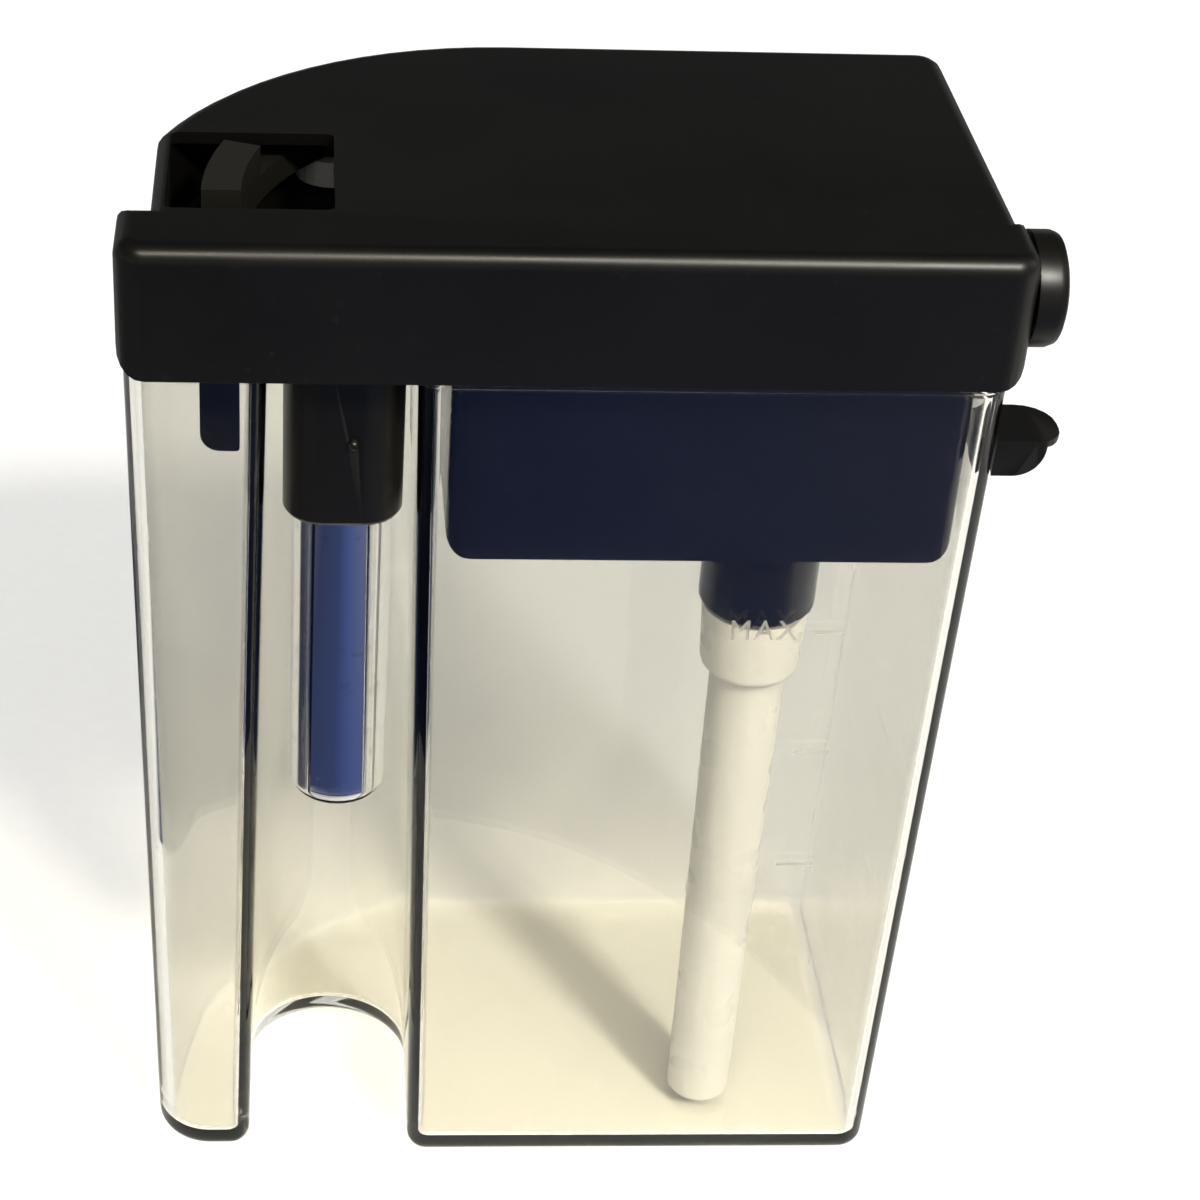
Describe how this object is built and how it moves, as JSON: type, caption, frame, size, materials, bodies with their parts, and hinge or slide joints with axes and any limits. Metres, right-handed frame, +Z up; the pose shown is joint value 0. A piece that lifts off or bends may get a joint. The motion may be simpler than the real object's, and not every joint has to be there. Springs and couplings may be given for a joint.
{
  "type": "milk container with frothing lid",
  "caption": "Clear milk tank with a recess for a chrome spout, a black lift-off frothing lid with a regulator lever, a hanging froth housing and a milk intake tube.",
  "frame": {"origin": "centre of the tank's foot, on the surface that the tank stands on", "axes": "+Z up, +X towards the machine's steam outlet, -Y the front where the spout hangs"},
  "size_m": [0.1463, 0.0787, 0.1862],
  "materials": {
    "clear": "clear moulded plastic, polished",
    "black": "fine satin grain, warm black",
    "navy": "smooth blue-black moulding",
    "chrome": "polished",
    "silicone": "translucent milky",
    "seal_rubber": "matte grey",
    "white": "natural white",
    "steel": "bright"
  },
  "bodies": {
    "tank_body": {"tank": "clear", "docking_lug": "black"},
    "lid_body": {"lid_base": "black", "lid_seal": "seal_rubber", "lid_cover": "black", "lid_screw_1": "steel", "lid_screw_2": "steel", "lid_screw_3": "steel", "lid_screw_4": "steel", "froth_housing": "navy", "mixing_chamber": "white", "steam_nozzle": "steel", "steam_pipe": "silicone", "whirl_cup": "white", "whirl_cup_cap": "white", "transfer_pipe": "silicone", "froth_pipe": "silicone", "intake_socket": "navy", "intake_collar": "silicone", "intake_tube": "silicone", "steam_connector": "black", "steam_port_seal": "seal_rubber", "check_valve": "seal_rubber", "air_valve_seat": "white", "lever_pivot_pin": "steel", "air_pipe": "silicone", "detent_spring": "steel", "spout_carrier": "black", "spout_inner_tube": "white", "spout_seal": "seal_rubber", "outlet_elbow": "seal_rubber"},
    "lever_body": {"froth_lever": "black"},
    "spout_body": {"spout_sleeve": "chrome", "spout_nozzle": "black"}
  },
  "joints": [
    {"name": "lid_lift", "type": "slide", "parent": "tank_body", "child": "lid_body", "axis": [0, 0, 1], "range_m": [0, 0.18]},
    {"name": "lever_swing", "type": "hinge", "parent": "lid_body", "child": "lever_body", "pos_m": [-0.0354, 0.019, 0.179], "axis": [0, 0, 1], "range_deg": [-7, 14]},
    {"name": "spout_slide", "type": "slide", "parent": "lid_body", "child": "spout_body", "axis": [0, 0, -1], "range_m": [0, 0.02]}
  ]
}
